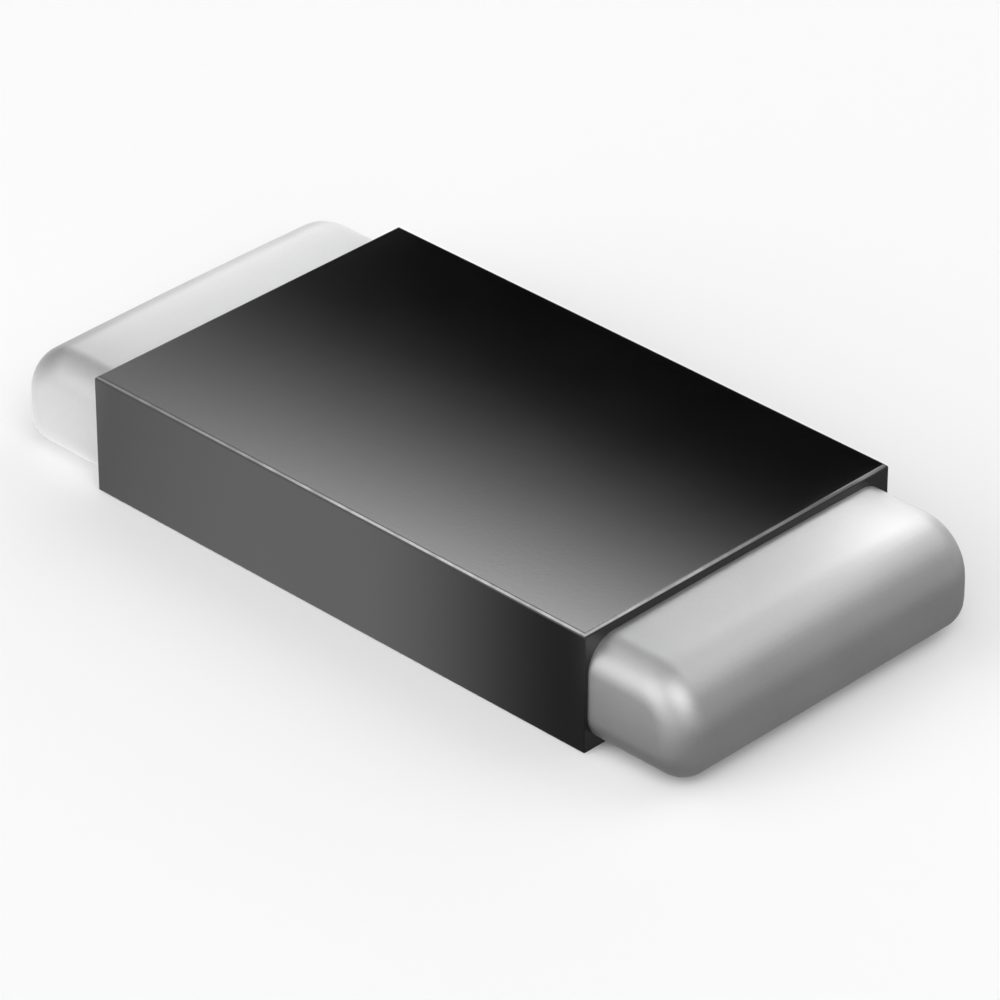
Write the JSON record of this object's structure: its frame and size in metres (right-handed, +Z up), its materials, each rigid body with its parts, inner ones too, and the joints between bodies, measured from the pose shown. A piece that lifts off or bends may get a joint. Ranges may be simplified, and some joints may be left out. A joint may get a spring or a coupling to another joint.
{
  "type": "chip resistor",
  "caption": "Surface-mount chip resistor: flat black moulded block with a rounded, tin-plated solder terminal at each end and a resistance strip inside.",
  "frame": {"origin": "middle of the moulded block's underside", "axes": "+X along the length from one terminal to the other, +Y across the width, +Z up from the board"},
  "size_m": [0.0032, 0.0014, 0.0005],
  "materials": {
    "molding_compound": "black epoxy moulding compound, satin with a fine grain",
    "resistance_alloy": "rolled resistance alloy strip, faint rolling lines",
    "tin_plate": "satin tin plating over copper"
  },
  "bodies": {
    "root": {"molded_body": "molding_compound", "resistive_strip": "resistance_alloy", "terminal_left": "tin_plate", "terminal_right": "tin_plate"}
  },
  "joints": []
}
